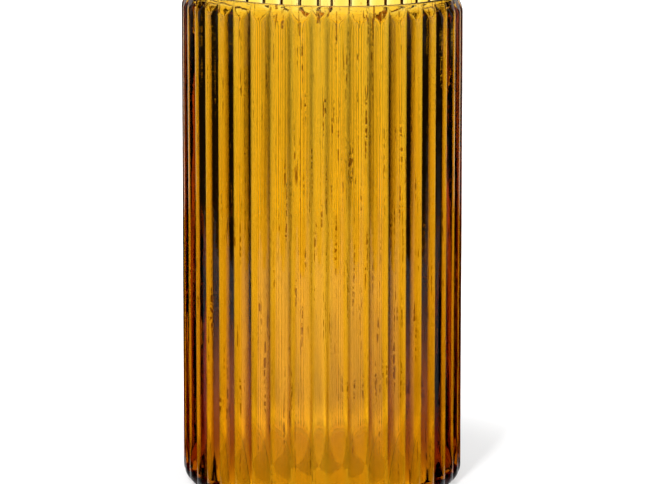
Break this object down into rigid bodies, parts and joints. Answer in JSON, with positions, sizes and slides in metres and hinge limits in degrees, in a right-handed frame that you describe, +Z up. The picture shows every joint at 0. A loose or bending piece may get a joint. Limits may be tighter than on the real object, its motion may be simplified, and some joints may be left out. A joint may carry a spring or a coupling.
{
  "type": "ribbed glass cylinder vase",
  "caption": "Tall open cylinder vase in amber blown glass, with vertical ribs, a rounded heel and a smooth rim.",
  "frame": {"origin": "centre of the resting plane under the foot ring", "axes": "+Z up along the vase's axis, towards the mouth; -Y is the pictured front"},
  "size_m": [0.1418, 0.1412, 0.25],
  "materials": {
    "amber_glass": "fire-polished, clear, with fine mould chill marks"
  },
  "bodies": {
    "root": {"floor": "amber_glass", "foot_ring": "amber_glass", "heel": "amber_glass", "ribbed_wall": "amber_glass", "rib_shoulder": "amber_glass", "rim": "amber_glass"}
  },
  "joints": []
}
